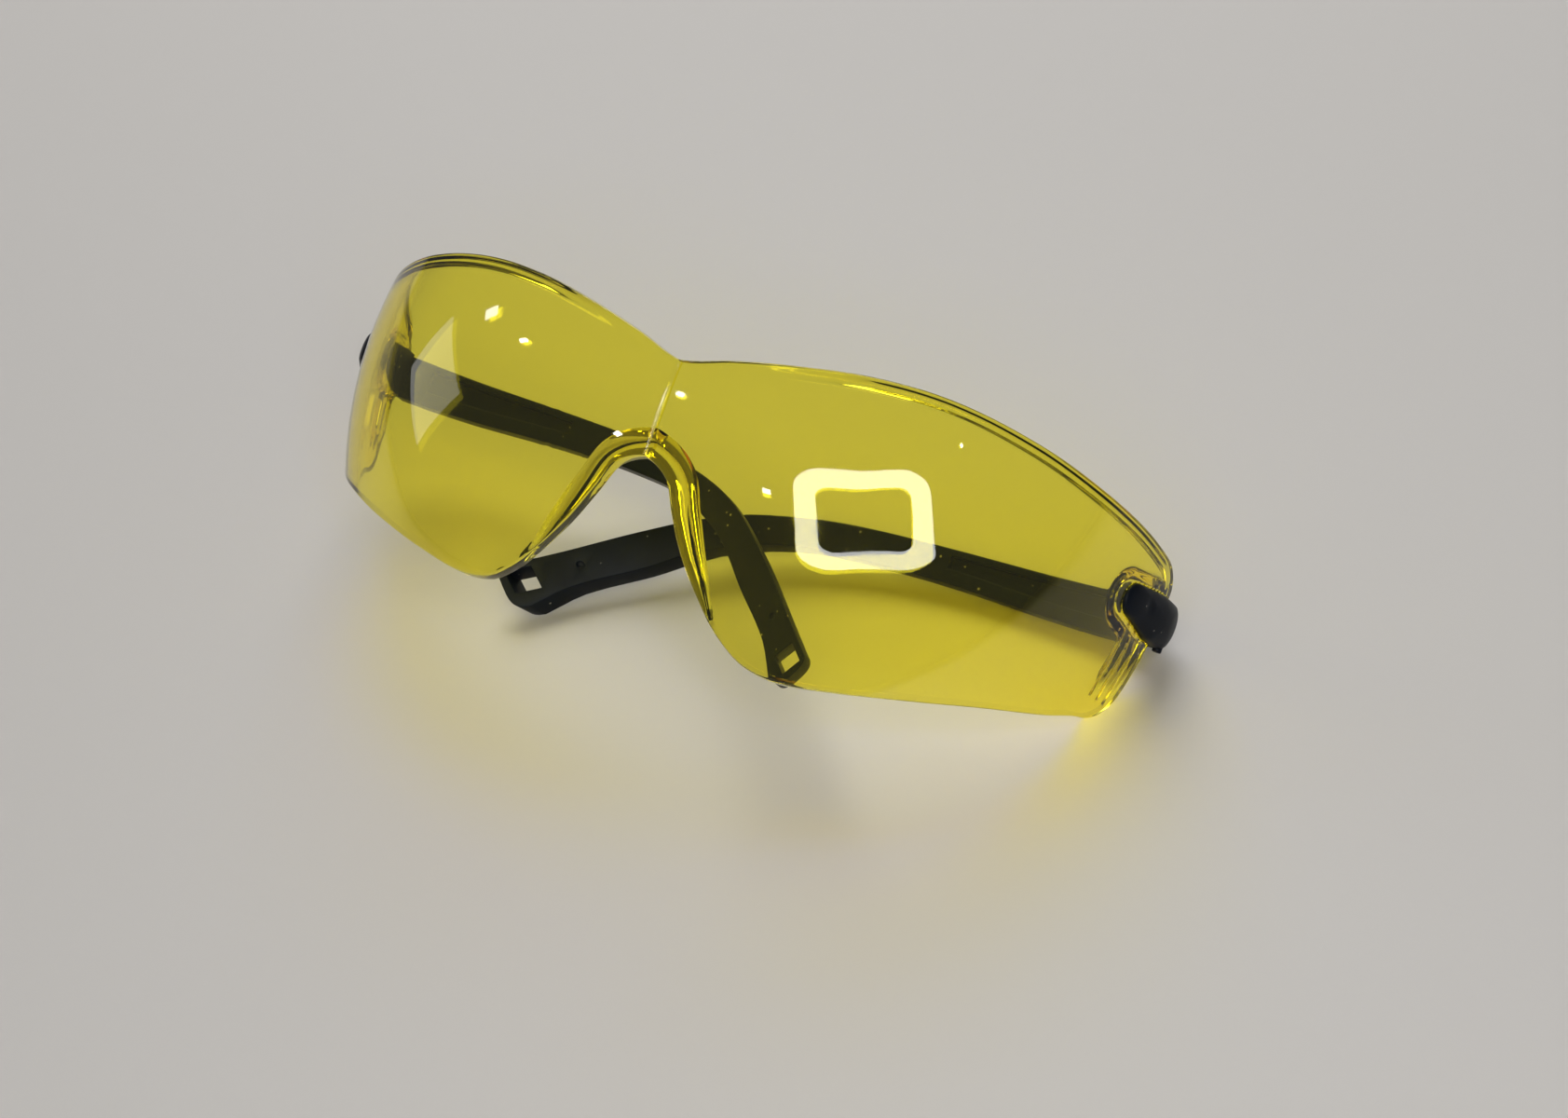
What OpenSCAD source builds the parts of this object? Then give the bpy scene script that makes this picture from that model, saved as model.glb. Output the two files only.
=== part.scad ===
// Wraparound shooting glasses, temples folded, resting on a table. Millimetres.
// Everything is drawn in the wearer's frame: +X is the wearer's left, +Y runs back
// over the ears and +Z is up. rest() then lays the part on the table, table plane z = 0.

/* [Lens] */
// Radius of the front arc of the lens, seen from above
front_r = 187; // [180:1:194]
// Length of the front arc, from the centre crease to one side
front_len = 37.5; // [37:0.1:38]
// Radius of the side arc that wraps round the temple
side_r = 47; // [46.6:0.1:47.4]
// Radius of the lens from top to bottom
upright_r = 70; // [66:1:80]
// Height of the lens's foremost line above the hinge line
apex_z = 4.2; // [3:0.2:5.4]
// Turn of each half at the faint crease down the middle, in degrees
crease_angle = 4.2; // [3.8:0.1:4.6]
// Thickness of the lens
lens_t = 2.2; // [1.8:0.1:2.4]
// Radius that rounds the edges of the lens
edge_r = 0.7; // [0.4:0.1:0.9]

/* [Nose cut-out] */
// Width of the ridge moulded round the nose cut-out
ridge_w = 4.4; // [3:0.2:5]
// Height of that ridge behind the lens
ridge_h = 2.2; // [1:0.2:2.6]

/* [Hinge notch] */
// Height of the raised rim round the hinge notch
rim_h = 1; // [0.6:0.1:1.4]
// Width of that rim
rim_w = 1.6; // [1:0.1:2]
// Width of each upright rib behind the lower rear edge
rib_w = 1.0; // [0.6:0.1:1.4]
// Height of those ribs
rib_h = 0.8; // [0.4:0.1:1.2]

/* [Hinge] */
// Radius of the hinge pin
pin_r = 0.75; // [0.6:0.05:0.85]
// Radius of the hinge ears and of the temple's knuckle
knuckle_r = 2; // [1.9:0.05:2.1]
// How far the middle of the hinge block stands out from the lens
head_proud = 1.2; // [0.9:0.1:1.4]
// How far the nub of the pin hangs below the hinge block
nub_h = 1.1; // [0.6:0.1:1.6]

/* [Temple] */
// Thickness of a temple
temple_t = 3.5; // [3.2:0.1:3.6]
// Radius of the inner face of a temple, seen from above
bow_r = 147; // [143:1:151]
// Depth of the panel sunk in the inner face near the hinge
panel_d = 0.9; // [0.5:0.1:1.2]
// Width of the lanyard slot along the temple
slot_w = 3.6; // [3:0.1:4]
// Height of the lanyard slot
slot_h = 3.4; // [2.8:0.1:3.8]

/* [Pose] */
// Fold of the wearer's left temple from fully open, in degrees
fold_left = 72.9; // [72.5:0.1:73.3]
// Fold of the wearer's right temple from fully open, in degrees
fold_right = 86.1; // [85.7:0.1:86.4]
// Tip back of the part on the table, in degrees
rest_pitch = 56.102;
// Sideways tilt of the part on the table, in degrees
rest_roll = 6.062;
// Shift that brings the part's lowest point to the table and its box to the centre
rest_shift = [4.362, -7.621, 54.379];

/* [Hidden] */
$fn = 96;

// Lens, all lengths along the arc from the centre crease
lens_end = 93.8;
foot_s = 17.6;
corner_s = 84;
side_turn = crease_angle + front_len / front_r * 180 / PI;
side_centre = [
    front_r * (sin(side_turn) - sin(crease_angle)) - side_r * sin(side_turn),
    front_r * (cos(crease_angle) - cos(side_turn)) + side_r * cos(side_turn)];
// Height of the top edge, as [arc length, height]
top_knots = [[0, 7.8], [8, 10.3], [18, 12.9], [29, 15.1], [41, 15.9], [56, 14.8],
    [68, 13], [80, 11], [88, 9.4], [lens_end, 8.2]];
// Height of the bottom edge: arch of the nose, its foot, then the cheek
bottom_knots = [[0, -8.2], [4.5, -10.5], [6.9, -14.9], [10.5, -20.5], [16.7, -27.2],
    [20, -29.7], [24, -31.7], [30, -32.3], [40, -30.7], [54, -27.6], [66, -24.5],
    [78, -21.6], [86, -19.4], [lens_end, -18.9]];

// Hinge block outline seen from the side: [y, z, r] of the circles that it wraps
head_front = [36.2, 0.15, 2.6];
head_middle = [43.6, -0.3, 3.75];
head_rear = [48.9, -0.3, 3.75];
side_tilt = 15;
head_depth = 4.1;
head_turn = [55, 77, 84];
head_h = 12;
dome_r = 12;
dimple_r = 1.1;
dimple_y = 41.8;
seat_gap = 0.05;

hinge_at = [71.3, 49.6, -0.3];
run_gap = 0.05;
pin_seat_gap = 0.01;
ear_gap = 0.25;
clear = 0.3;
swing = 12;
knuckle_h = 3;

// Temple, measured from the hinge axis: u back along the temple, z up
body_u = 3.2;
inner_w = 1.2;
temple_top = [[body_u, 3.5], [17.8, 2.9], [37.8, 2.2], [52.8, 1], [62.8, -1],
    [72.8, -4.8], [82.8, -12.2], [92.8, -21.2], [97.6, -25.6]];
temple_bottom = [[body_u, -3.8], [17.8, -3.8], [37.8, -3.4], [52.8, -4.2], [62.8, -5.9],
    [72.8, -10.6], [80.8, -17.9], [88.8, -24.9], [93.7, -31.4]];
tip_run = 3.1;
tip_square = 0.6;
panel_u = [9, 38];
panel_top_rail = 1.2;
panel_low_rail = 2.4;
slot_at = [94.8, -26.7];
slot_turn = -41;
gate_at = [88.8, -21];
gate_r = 0.8;
gate_d = 0.4;

// Smooth curve through knots [position, value]
function knot(p, s, i = 0) = i >= len(p) - 2 || s <= p[i + 1][0] ? i : knot(p, s, i + 1);
function knot_slope(p, i) =
    let (a = p[max(i - 1, 0)], b = p[min(i + 1, len(p) - 1)]) (b[1] - a[1]) / (b[0] - a[0]);
function along(p, s) =
    let (i = knot(p, s), a = p[i], b = p[i + 1], h = b[0] - a[0], t = (s - a[0]) / h,
        ma = i == 0 ? 0.5 * knot_slope(p, 0) * (a[0] > 0 ? 2 : 1) : knot_slope(p, i),
        mb = knot_slope(p, i + 1))
    a[1] * (2 * pow(t, 3) - 3 * t * t + 1) + b[1] * (3 * t * t - 2 * pow(t, 3))
    + h * ma * (pow(t, 3) - 2 * t * t + t) + h * mb * (pow(t, 3) - t * t);

// Point of the lens at arc length s from the crease (below 0 on the right), height z
// and depth d behind the front surface
function heading(s) =
    s < front_len ? crease_angle + s / front_r * 180 / PI
        : side_turn + (s - front_len) / side_r * 180 / PI;
function plan(s) =
    s < front_len
        ? [front_r * (sin(heading(s)) - sin(crease_angle)),
            front_r * (cos(crease_angle) - cos(heading(s)))]
        : side_centre + side_r * [sin(heading(s)), -cos(heading(s))];
function sink(z) = upright_r - sqrt(upright_r * upright_r - pow(z - apex_z, 2));
function lens_point(s, z, d) =
    let (a = abs(s), h = heading(a), p = plan(a), back = sink(z) + d)
    s == 0 ? [0, back / cos(crease_angle), z]
        : [sign(s) * (p[0] - sin(h) * back), p[1] + cos(h) * back, z];

// Edges of the lens, with its rear corners rounded
function corner(s, run, rise) =
    s <= lens_end - run ? 0 : rise * (1 - sqrt(1 - pow((s - lens_end + run) / run, 2)));
function top_z(s) = along(top_knots, s) - corner(s, 5, 3.5);
function bottom_z(s) = along(bottom_knots, s) + corner(s, 7, 6);
function lean(a, b) = min(sqrt(1 + pow((b - a) / 0.4, 2)), 2.4);
// Height at s of a line that runs this far above the bottom edge, measured square to it
function above_bottom(s, run) =
    max([for (k = [-1:0.1:1])
        bottom_z(min(abs(s + k * run), lens_end)) + run * sqrt(1 - k * k)]);

// Rows of one upright section, bottom to top: [height, front depth, back depth]
function lens_rows(s) =
    let (a = max(s, 0.2), b = bottom_z(s), t = top_z(s),
        kt = lean(top_z(a - 0.2), top_z(min(a + 0.2, lens_end))),
        fade = s < foot_s ? 1 - pow(s / foot_s, 3) : 0,
        w = max(ridge_w * fade, 1.5), h = ridge_h * pow(fade, 0.6),
        low = above_bottom(s, edge_r + w), high = t - kt * edge_r)
    concat(
        [[b, edge_r * 0.8, lens_t - edge_r * 0.8],
            [above_bottom(s, edge_r * 0.3), edge_r * 0.25, lens_t - edge_r * 0.25]],
        [for (f = [0:0.25:1])
            [above_bottom(s, edge_r + w * f), 0, lens_t + h * sin(180 * f)]],
        [for (i = [1:9]) [low + (high - low) * i / 9, 0, lens_t]],
        [[t - kt * edge_r * 0.3, edge_r * 0.25, lens_t - edge_r * 0.25],
            [t, edge_r * 0.8, lens_t - edge_r * 0.8]]);
function lens_ring(s) =
    let (rows = lens_rows(abs(s)), n = len(rows))
    concat([for (r = rows) lens_point(s, r[0], r[1])],
        [for (i = [n - 1:-1:0]) lens_point(s, rows[i][0], rows[i][2])]);
function patch_ring(s, z0, z1, d0, d1, n) =
    concat([for (i = [0:n]) lens_point(s, z0 + (z1 - z0) * i / n, d0)],
        [for (i = [n:-1:0]) lens_point(s, z0 + (z1 - z0) * i / n, d1)]);

half_stations = concat(
    [for (i = [1:16]) foot_s * i / 16],
    [for (i = [1:18]) foot_s + (corner_s - foot_s) * i / 18],
    [for (i = [1:9]) corner_s + (lens_end - corner_s) * sin(10 * i)]);
stations = concat([for (i = [len(half_stations) - 1:-1:0]) -half_stations[i]], [0],
    half_stations);

// Closed skin over rings of equal length; each ring is a strip, front then back
module skin(rings) {
    n = len(rings[0]);
    m = len(rings);
    last = (m - 1) * n;
    polyhedron(
        points = [for (ring = rings) each ring],
        faces = concat(
            [for (i = [0:m - 2], j = [0:n - 1])
                [i * n + j, i * n + (j + 1) % n, (i + 1) * n + (j + 1) % n]],
            [for (i = [0:m - 2], j = [0:n - 1])
                [i * n + j, (i + 1) * n + (j + 1) % n, (i + 1) * n + j]],
            [for (j = [0:n / 2 - 2]) [j, n - 2 - j, j + 1]],
            [for (j = [0:n / 2 - 2]) [j, n - 1 - j, n - 2 - j]],
            [for (j = [0:n / 2 - 2]) [last + j, last + j + 1, last + n - 2 - j]],
            [for (j = [0:n / 2 - 2]) [last + j, last + n - 2 - j, last + n - 1 - j]]),
        convexity = 10);
}

module lens_patch(s0, s1, z0, z1, d0, d1, m, n) {
    skin([for (i = [0:m]) patch_ring(s0 + (s1 - s0) * i / m, z0, z1, d0, d1, n)]);
}

// Circles are [y, z, r]. Arc points from one angle to another, and the angles at which
// a belt leaves the first of two circles
function arc(c, from, to, n = 14) =
    [for (i = [0:n]) let (a = from + (to - from) * i / n) [c[0] + c[2] * cos(a), c[1] + c[2] * sin(a)]];
function grown(c, g) = [c[0], c[1], c[2] + g];
function belt_angles(a, b) =
    let (dir = atan2(b[1] - a[1], b[0] - a[0]),
        side = acos((a[2] - b[2]) / norm([b[0] - a[0], b[1] - a[1]])))
    [dir + side, dir - side];

module head_outline(grow = 0) {
    front = grown(head_front, grow);
    middle = grown(head_middle, grow);
    rear = grown(head_rear, grow);
    turn = belt_angles(front, middle);
    polygon(concat(arc(front, turn[0], 360 + turn[1]), arc(middle, turn[1], -90, 2),
        arc(rear, -90, 90, 20), arc(middle, 90, turn[0], 2)));
}

// Side view outline, drawn as [y, z], swept along X
module from_side(x0, x1) {
    translate([x0, 0, 0]) rotate([90, 0, 90]) linear_extrude(x1 - x0) children();
}

// The same, but along the lens's normal at the hinge notch
module through_notch() {
    pivot = plan(lens_end);
    translate(pivot) rotate([0, 0, -side_tilt]) translate(-pivot) from_side(52, 84) children();
}

module left_and_right() {
    children();
    mirror([1, 0, 0]) children();
}

module rest() {
    translate(rest_shift) rotate([-rest_pitch, rest_roll, 0]) children();
}

module notch_rim() {
    intersection() {
        lens_patch(68, lens_end, -8, 7, lens_t - 0.4, lens_t + rim_h, 10, 5);
        through_notch() head_outline(rim_w);
    }
}

module rear_ribs() {
    for (s = [86.8, 89.5, 92.2])
        lens_patch(s - rib_w / 2, s + rib_w / 2, -13.2, -4.6, lens_t - 0.4, lens_t + rib_h,
            1, 4);
}

module lens() {
    color([0.93, 0.8, 0.1, 0.5])
    resize([2 * (plan(lens_end)[0] - sink(apex_z)), 0, 0])
    difference() {
        union() {
            skin([for (s = stations) lens_ring(s)]);
            left_and_right() {
                notch_rim();
                rear_ribs();
            }
        }
        left_and_right() through_notch() head_outline(seat_gap);
    }
}

// Sector of the block between two headings of the lens's side, this deep behind its face
module head_sector(from, to, depth) {
    translate([side_centre[0], side_centre[1], 0])
    rotate([0, 0, from - 90])
    rotate_extrude(angle = to - from)
    intersection() {
        translate([side_r + head_proud - dome_r, head_middle[1]]) circle(dome_r);
        translate([side_r - depth, -head_h / 2]) square([depth + 2, head_h]);
    }
}

// Room behind the front of the block, so that only its rear end goes through the lens
module lens_seat() {
    translate([side_centre[0], side_centre[1], 0])
    rotate([0, 0, head_turn[0] - 92])
    rotate_extrude(angle = head_turn[1] - head_turn[0] + 2)
    translate([side_r - head_depth - 1, -head_h]) square([head_depth + 0.8 - lens_t, 2 * head_h]);
}

module hinge_block() {
    axle = [hinge_at[0], hinge_at[1], 0];
    gap_h = knuckle_h + 2 * ear_gap;
    gap_z = hinge_at[2] - gap_h / 2;
    difference() {
        intersection() {
            union() {
                head_sector(head_turn[0], head_turn[2], head_depth);
                translate([hinge_at[0] - knuckle_r + 0.3, hinge_at[1] - 4, -head_h / 2])
                    cube([2 * knuckle_r - 0.9, 4, head_h]);
                translate(axle) cylinder(r = knuckle_r, h = head_h, center = true);
            }
            through_notch() head_outline();
        }
        lens_seat();
        translate(axle + [0, 0, gap_z]) cylinder(r = knuckle_r + clear, h = gap_h);
        translate(axle + [-swing, -inner_w - clear, gap_z]) cube([swing, swing, gap_h]);
        translate(axle) cylinder(r = pin_r + pin_seat_gap, h = 2 * head_h, center = true);
        translate([side_centre[0] + side_r + head_proud, dimple_y, 0]) sphere(dimple_r);
    }
}

pin_top = 3.2;
pin_bottom = head_rear[1] - head_rear[2] - nub_h;

module hinge_pin() {
    translate([hinge_at[0], hinge_at[1], pin_bottom])
        cylinder(r = pin_r, h = pin_top - pin_bottom);
}

// Squarish round end, from the end of the top edge to the end of the bottom edge
function tip_points(n = 12) =
    let (a = temple_top[len(temple_top) - 1], b = temple_bottom[len(temple_bottom) - 1],
        half = (a - b) / 2, out = [half[1], -half[0]] * tip_run / norm(half))
    [for (i = [1:n - 1]) let (c = cos(180 * i / n), t = sin(180 * i / n))
        (a + b) / 2 + half * sign(c) * pow(abs(c), tip_square) + out * pow(t, tip_square)];

module temple_outline() {
    n = 32;
    du = temple_top[len(temple_top) - 1][0] - body_u;
    dl = temple_bottom[len(temple_bottom) - 1][0] - body_u;
    polygon(concat(
        [for (i = [0:n]) [body_u + du * i / n, along(temple_top, body_u + du * i / n)]],
        tip_points(),
        [for (i = [n:-1:0]) [body_u + dl * i / n, along(temple_bottom, body_u + dl * i / n)]]));
}

module panel_outline() {
    n = 6;
    du = panel_u[1] - panel_u[0];
    polygon(concat(
        [for (i = [0:n]) [panel_u[0] + du * i / n,
            along(temple_top, panel_u[0] + du * i / n) - panel_top_rail]],
        [for (i = [n:-1:0]) [panel_u[0] + du * i / n,
            along(temple_bottom, panel_u[0] + du * i / n) + panel_low_rail]]));
}

// Bowed band between two depths from the inner face, seen from above
module bowed(from_face, to_face) {
    translate([-(inner_w + bow_r), 0, -40])
    linear_extrude(50)
    difference() {
        circle(bow_r + to_face, $fn = 360);
        circle(bow_r + from_face, $fn = 360);
    }
}

// Drawn open on the left side with the hinge axis on Z: +Y back, -X inward
module temple() {
    difference() {
        union() {
            intersection() {
                bowed(0, temple_t);
                from_side(-60, 10) temple_outline();
            }
            cylinder(r = knuckle_r, h = knuckle_h, center = true);
            translate([-inner_w, 0, -knuckle_h / 2])
                cube([inner_w + knuckle_r, body_u + 0.4, knuckle_h]);
        }
        translate([0, 0, -4]) cylinder(r = pin_r + run_gap, h = 8);
        intersection() {
            bowed(-1, panel_d);
            from_side(-60, 10) panel_outline();
        }
        from_side(-60, 10)
            translate(slot_at) rotate(slot_turn) square([slot_w, slot_h], center = true);
        intersection() {
            bowed(-1, gate_d);
            from_side(-60, 10) translate(gate_at) circle(gate_r);
        }
    }
}

module hinge_block_left() {
    color([0.1, 0.11, 0.14]) hinge_block();
}

module hinge_block_right() {
    color([0.1, 0.11, 0.14]) mirror([1, 0, 0]) hinge_block();
}

module temple_left() {
    color([0.1, 0.11, 0.14]) translate(hinge_at) rotate([0, 0, fold_left]) temple();
}

module temple_right() {
    color([0.1, 0.11, 0.14])
        mirror([1, 0, 0]) translate(hinge_at) rotate([0, 0, fold_right]) temple();
}

module hinge_pin_left() {
    color([0.1, 0.11, 0.14]) hinge_pin();
}

module hinge_pin_right() {
    color([0.1, 0.11, 0.14]) mirror([1, 0, 0]) hinge_pin();
}

rest() lens();
rest() hinge_block_left();
rest() hinge_block_right();
rest() temple_left();
rest() temple_right();
rest() hinge_pin_left();
rest() hinge_pin_right();
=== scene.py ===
# %% [markdown]
# # Shooting glasses: one clear yellow lens and two folded temples
#
# The real thing is moulded from two plastics. One sheet of yellow polycarbonate
# wraps round the whole face, and two dark nylon temples fold behind it on small
# hinge blocks. Every piece here is drawn in millimetres in the wearer's frame,
# with +X to the wearer's left, +Y back over the ears and +Z up. It is laid on the
# table at the very end, so that the sizes stay easy to read.

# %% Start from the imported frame
from math import acos, asin, atan2, cos, degrees, exp, hypot, pi, radians, sin, sqrt

import bmesh
import bpy
import numpy as np
from mathutils import Matrix, Quaternion, Vector


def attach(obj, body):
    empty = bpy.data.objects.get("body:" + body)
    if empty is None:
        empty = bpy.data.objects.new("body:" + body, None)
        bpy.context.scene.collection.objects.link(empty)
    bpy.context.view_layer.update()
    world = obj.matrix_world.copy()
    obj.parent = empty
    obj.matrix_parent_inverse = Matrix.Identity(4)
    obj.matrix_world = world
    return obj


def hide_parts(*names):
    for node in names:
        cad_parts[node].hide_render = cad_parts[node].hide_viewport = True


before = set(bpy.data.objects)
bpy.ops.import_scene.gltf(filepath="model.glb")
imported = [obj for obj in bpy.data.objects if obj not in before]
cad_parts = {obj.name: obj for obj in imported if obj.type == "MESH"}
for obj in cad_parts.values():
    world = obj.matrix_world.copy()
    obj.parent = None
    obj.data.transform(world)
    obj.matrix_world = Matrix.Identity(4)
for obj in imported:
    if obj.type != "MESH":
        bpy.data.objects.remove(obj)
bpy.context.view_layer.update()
print("nodes:", sorted(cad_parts))

# %% [markdown]
# ## The table frame
#
# The glasses rest on the table with the lens tipped back and a little to one
# side, because they stand on one lower corner of the lens and on a temple. These
# three values are the same turn and shift that the solid model uses.

# %% Place everything on the table
REST_PITCH = radians(56.102)
REST_ROLL = radians(6.062)
REST_SHIFT = Vector((4.362, -7.621, 54.379))
lay_down = (Matrix.Translation(REST_SHIFT) @ Matrix.Rotation(REST_ROLL, 4, "Y")
            @ Matrix.Rotation(-REST_PITCH, 4, "X"))
to_metres = Matrix.Scale(0.001, 4)
mirror_x = Matrix.Scale(-1, 4, (1, 0, 0))
print("the wearer's up points along", [round(v, 2) for v in lay_down.to_3x3().col[2]])

# %% [markdown]
# ## Three helpers for meshes
#
# A piece starts as a list of points and faces. Its modifiers are turned into a
# plain mesh as soon as they have done their work, so every piece ends as simple
# geometry. Shading is smooth, and an edge stays sharp where the real one is.


# %% Mesh helpers
def new_object(name, verts, faces):
    """A mesh object with its own name, made from points and faces."""
    mesh = bpy.data.meshes.new(name)
    mesh.from_pydata([tuple(v) for v in verts], [], faces)
    mesh.validate()
    obj = bpy.data.objects.new(name, mesh)
    bpy.context.scene.collection.objects.link(obj)
    return obj


def bake_modifiers(obj):
    """Turn an object with modifiers into a plain mesh."""
    bpy.context.view_layer.update()
    graph = bpy.context.evaluated_depsgraph_get()
    mesh = bpy.data.meshes.new_from_object(obj.evaluated_get(graph))
    obj.modifiers.clear()
    old = obj.data
    obj.data = mesh
    bpy.data.meshes.remove(old)
    return obj


def shade(obj, angle=32):
    """Smooth shading, with an edge kept sharp where it turns by more than this angle."""
    obj.data.polygons.foreach_set("use_smooth", [True] * len(obj.data.polygons))
    obj.data.set_sharp_from_angle(angle=radians(angle))


print("mesh helpers ready")

# %% [markdown]
# ## Colours and the node helper
#
# Colours are written as the sRGB hex values that a colour picker shows. Shaders
# work in linear light, so one function converts them. A second small function
# adds a node to any tree and wires it, so each material reads like a recipe.

# %% Colour and node helpers
def hex_colour(code):
    """An sRGB hex colour as linear red, green, blue and alpha."""
    parts = [int(code[i:i + 2], 16) / 255 for i in (1, 3, 5)]
    return [c / 12.92 if c <= 0.04045 else ((c + 0.055) / 1.055) ** 2.4 for c in parts] + [1]


def add(tree, kind, inputs=None, **settings):
    """One node. An input is a value, an output, or a node that stands for its first output."""
    node = tree.nodes.new(kind)
    for key, value in settings.items():
        setattr(node, key, value)
    for key, value in (inputs or {}).items():
        if isinstance(value, bpy.types.Node):
            value = value.outputs[0]
        if isinstance(value, bpy.types.NodeSocket):
            tree.links.new(value, node.inputs[key])
        else:
            node.inputs[key].default_value = value
    return node


def new_material(name):
    """An empty material and its node tree."""
    material = bpy.data.materials.new(name)
    material.use_nodes = True
    material.node_tree.nodes.clear()
    return material, material.node_tree


MATH = "ShaderNodeMath"
VECTOR_MATH = "ShaderNodeVectorMath"
print("mid grey #808080 in linear light:", round(hex_colour("#808080")[0], 3))

# %% [markdown]
# ## Finish 1: yellow polycarbonate
#
# Safety lenses are injection moulded in polished steel, so the surface is as
# smooth as glass and only carries faint wiping marks, each about 17 by 4 by 8 mm.
# The dye sits in the plastic itself, so light that travels far inside the sheet
# turns golden at the edges. A volume shader absorbs blue on the way through. By
# itself it makes the longest paths too dark and red, so the surface colour
# carries half of the tint. Rays from lamps pass straight through, which keeps
# the yellow shadow on the table clean.

# %% Yellow polycarbonate
POLYCARBONATE_IOR = 1.585
DYE_PER_METRE = 480
polycarbonate, tree = new_material("yellow_polycarbonate_polished")
coords = add(tree, "ShaderNodeTexCoord")
wiping = add(tree, "ShaderNodeMapping", {"Vector": coords.outputs["Object"],
                                         "Scale": (60, 240, 120)})
smears = add(tree, "ShaderNodeTexNoise", {"Vector": wiping, "Scale": 1.0, "Detail": 5,
                                          "Roughness": 0.6})
polish = add(tree, "ShaderNodeMapRange", {"Value": smears, "From Min": 0.45, "From Max": 0.8,
                                          "To Min": 0.012, "To Max": 0.06})
plastic = add(tree, "ShaderNodeBsdfPrincipled", {
    "Base Color": hex_colour("#FFF989"), "Roughness": polish, "IOR": POLYCARBONATE_IOR,
    "Transmission Weight": 1.0})
lamp_ray = add(tree, "ShaderNodeLightPath")
clear = add(tree, "ShaderNodeBsdfTransparent", {"Color": hex_colour("#F6F3B5")})
either = add(tree, "ShaderNodeMixShader", {0: lamp_ray.outputs["Is Shadow Ray"],
                                           1: plastic, 2: clear})
dye = add(tree, "ShaderNodeVolumeAbsorption", {"Color": hex_colour("#FFFA00"),
                                               "Density": DYE_PER_METRE})
add(tree, "ShaderNodeOutputMaterial", {"Surface": either, "Volume": dye})
print(polycarbonate.name, "has", len(tree.nodes), "nodes")

# %% [markdown]
# ## Finish 2: dark nylon
#
# The temples and hinge blocks are moulded in glass-filled nylon, a blue-black
# plastic with a fine spark-eroded grain. The grain, 0.25 mm across, breaks up
# highlights into a satin sheen. Handling leaves slightly polished patches, about
# 6 mm across, and a few pale specks of dust. Real specks are finer than 0.1 mm.
# They are drawn up to 0.4 mm wide, at most one in each 2 mm, because finer ones
# would not show.

# %% Dark nylon
GRAIN_SIZE = 0.00025
PATCH_SIZE = 0.00625
SPECKS_PER_METRE = 480
nylon, tree = new_material("dark_nylon_satin")
coords = add(tree, "ShaderNodeTexCoord")
grain = add(tree, "ShaderNodeTexNoise", {"Vector": coords.outputs["Object"],
                                         "Scale": 1 / GRAIN_SIZE, "Detail": 2})
patches = add(tree, "ShaderNodeTexNoise", {"Vector": coords.outputs["Object"],
                                           "Scale": 1 / PATCH_SIZE, "Detail": 4,
                                           "Roughness": 0.6})
specks = add(tree, "ShaderNodeTexVoronoi", {"Vector": coords.outputs["Object"],
                                            "Scale": SPECKS_PER_METRE})
dust = add(tree, "ShaderNodeMapRange", {"Value": specks.outputs["Distance"],
                                        "From Min": 0.07, "From Max": 0.11,
                                        "To Min": 1, "To Max": 0})
where = add(tree, "ShaderNodeMapRange", {"Value": patches.outputs["Fac"], "From Min": 0.5,
                                         "From Max": 0.6})
dusty = add(tree, MATH, {0: dust, 1: where}, operation="MULTIPLY")
tone = add(tree, "ShaderNodeMix", {0: patches.outputs["Fac"], 6: hex_colour("#0A0E15"),
                                   7: hex_colour("#131A25")}, data_type="RGBA")
colour = add(tree, "ShaderNodeMix", {0: dusty, 6: tone.outputs[2],
                                     7: hex_colour("#A09C90")}, data_type="RGBA")
sheen = add(tree, "ShaderNodeMapRange", {"Value": patches.outputs["Fac"], "From Min": 0.3,
                                         "From Max": 0.7, "To Min": 0.48, "To Max": 0.36})
bump = add(tree, "ShaderNodeBump", {"Height": grain.outputs["Fac"], "Strength": 0.12,
                                    "Distance": 0.00004})
plastic = add(tree, "ShaderNodeBsdfPrincipled", {
    "Base Color": colour.outputs[2], "Roughness": sheen, "IOR": 1.45,
    "Specular IOR Level": 0.16, "Normal": bump})
add(tree, "ShaderNodeOutputMaterial", {"Surface": plastic})
print(nylon.name, "has", len(tree.nodes), "nodes")

# %% [markdown]
# ## The lens, step 1: its edges
#
# The lens is one sheet bent to a rule, so it is easiest to draw flat, like a
# pattern cut from paper. Along the sheet, s runs from the crease between the
# eyes to one side, and z is the height. A few knots give the top edge and the
# bottom edge, and a smooth curve goes through them. Sharp edges reach further
# than well rounded ones, so both edges are trimmed by 0.4 mm.

# %% A smooth curve through knots
def smooth_curve(knots):
    """A function that goes smoothly through the knots (place, value)."""
    x, v = np.array(knots, float).T
    m = np.empty_like(v)
    m[1:-1] = (v[2:] - v[:-2]) / (x[2:] - x[:-2])
    m[0] = (v[1] - v[0]) / (x[1] - x[0]) * (1 if x[0] > 0 else 0.5)
    m[-1] = (v[-1] - v[-2]) / (x[-1] - x[-2])

    def at(s):
        s = np.asarray(s, float)
        i = np.clip(np.searchsorted(x, s, side="right") - 1, 0, len(x) - 2)
        h = x[i + 1] - x[i]
        t = (s - x[i]) / h
        return (v[i] * (2 * t**3 - 3 * t**2 + 1) + v[i + 1] * (3 * t**2 - 2 * t**3)
                + h * m[i] * (t**3 - 2 * t**2 + t) + h * m[i + 1] * (t**3 - t**2))
    return at


print("half way between 0 and 1:", float(smooth_curve([(0, 0), (1, 0), (2, 1), (3, 1)])(1.5)))

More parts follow.
